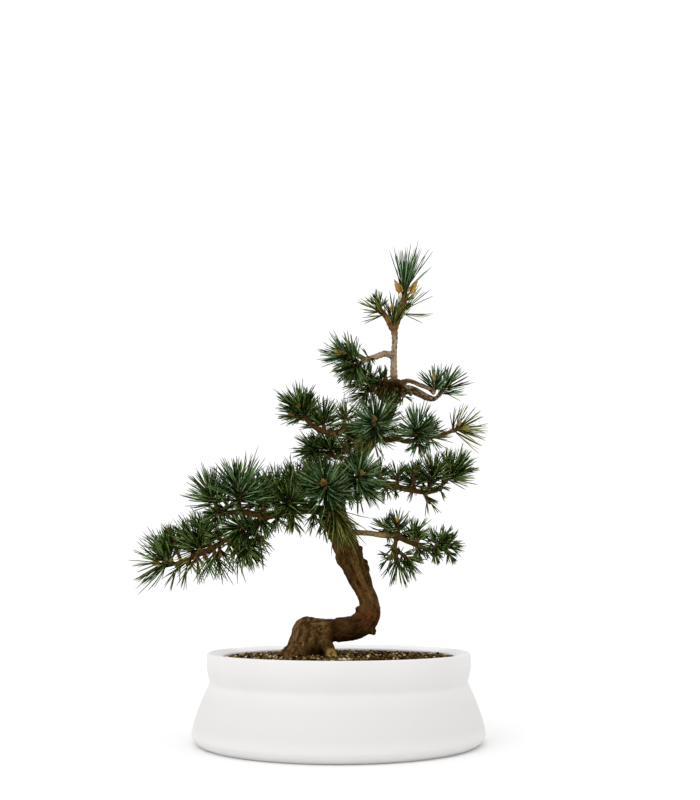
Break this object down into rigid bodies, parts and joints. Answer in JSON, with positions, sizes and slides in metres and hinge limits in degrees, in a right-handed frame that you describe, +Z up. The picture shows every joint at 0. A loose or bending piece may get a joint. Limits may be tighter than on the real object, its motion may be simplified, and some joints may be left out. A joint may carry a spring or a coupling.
{
  "type": "japanese white pine bonsai",
  "caption": "Potted pine tree in miniature with an S-shaped trunk, a long low branch and tufts of needles, in a round white pot.",
  "frame": {"origin": "centre of the pot's flat base, on the surface it stands on", "axes": "+Z up; -Y towards the viewer of the tree's front; +X to that viewer's right"},
  "size_m": [0.3054, 0.236, 0.4202],
  "materials": {
    "pot": "matte white",
    "soil": "rough, granular",
    "wood": "rough bark",
    "needles_deep": "satin",
    "needles_blue": "satin",
    "needles_fresh": "satin"
  },
  "bodies": {
    "root": {"pot": "pot", "soil": "soil", "wood": "wood", "needles_crown": "needles_blue", "needles_crown_front": "needles_deep", "needles_crown_left": "needles_deep", "needles_crown_right": "needles_fresh", "needles_top_left_rear": "needles_deep", "needles_top_left_end": "needles_blue", "needles_top_left_low": "needles_deep", "needles_knot_left_end": "needles_deep", "needles_knot_left_low": "needles_deep", "needles_top_right_end": "needles_blue", "needles_top_right_bud": "needles_blue", "needles_left_upper_end": "needles_deep", "needles_left_upper_mid": "needles_deep", "needles_left_upper_rear": "needles_deep", "needles_front_upper_end": "needles_blue", "needles_front_upper_low": "needles_fresh", "needles_right_upper_mid": "needles_blue", "needles_right_upper_rear": "needles_blue", "needles_right_upper_end": "needles_fresh", "needles_back_left_middle_end": "needles_deep", "needles_back_left_middle_mid": "needles_deep", "needles_front_middle_end": "needles_blue", "needles_front_right_end": "needles_blue", "needles_front_right_low": "needles_deep", "needles_right_middle_inner": "needles_deep", "needles_right_middle_rear": "needles_deep", "needles_right_middle_mid": "needles_deep", "needles_right_middle_end": "needles_deep", "needles_right_middle_low": "needles_fresh", "needles_low_right_up": "needles_deep", "needles_low_right_inner": "needles_deep", "needles_low_right_mid": "needles_deep", "needles_low_right_outer": "needles_deep", "needles_low_right_end": "needles_deep", "needles_low_right_hanging_end": "needles_deep", "needles_low_right_hanging_side": "needles_deep", "needles_left_main_end": "needles_deep", "needles_left_main_third": "needles_blue", "needles_left_main_second": "needles_deep", "needles_left_main_rear": "needles_deep", "needles_left_main_front": "needles_fresh", "needles_left_main_inner": "needles_deep", "needles_left_main_low": "needles_deep", "needles_left_low_end": "needles_deep", "needles_left_low_up": "needles_deep", "needles_left_low_mid": "needles_deep", "needles_left_low_under": "needles_fresh", "needles_left_low_rear": "needles_deep", "needles_left_low_hanging": "needles_deep", "needles_left_low_second": "needles_deep", "needles_left_low_inner": "needles_deep", "needles_trunk_hanging": "needles_fresh", "needles_back_middle_end": "needles_deep", "needles_back_middle_mid": "needles_deep", "needles_back_upper_end": "needles_deep", "needles_back_upper_mid": "needles_deep", "needles_back_left_end": "needles_deep"}
  },
  "joints": []
}
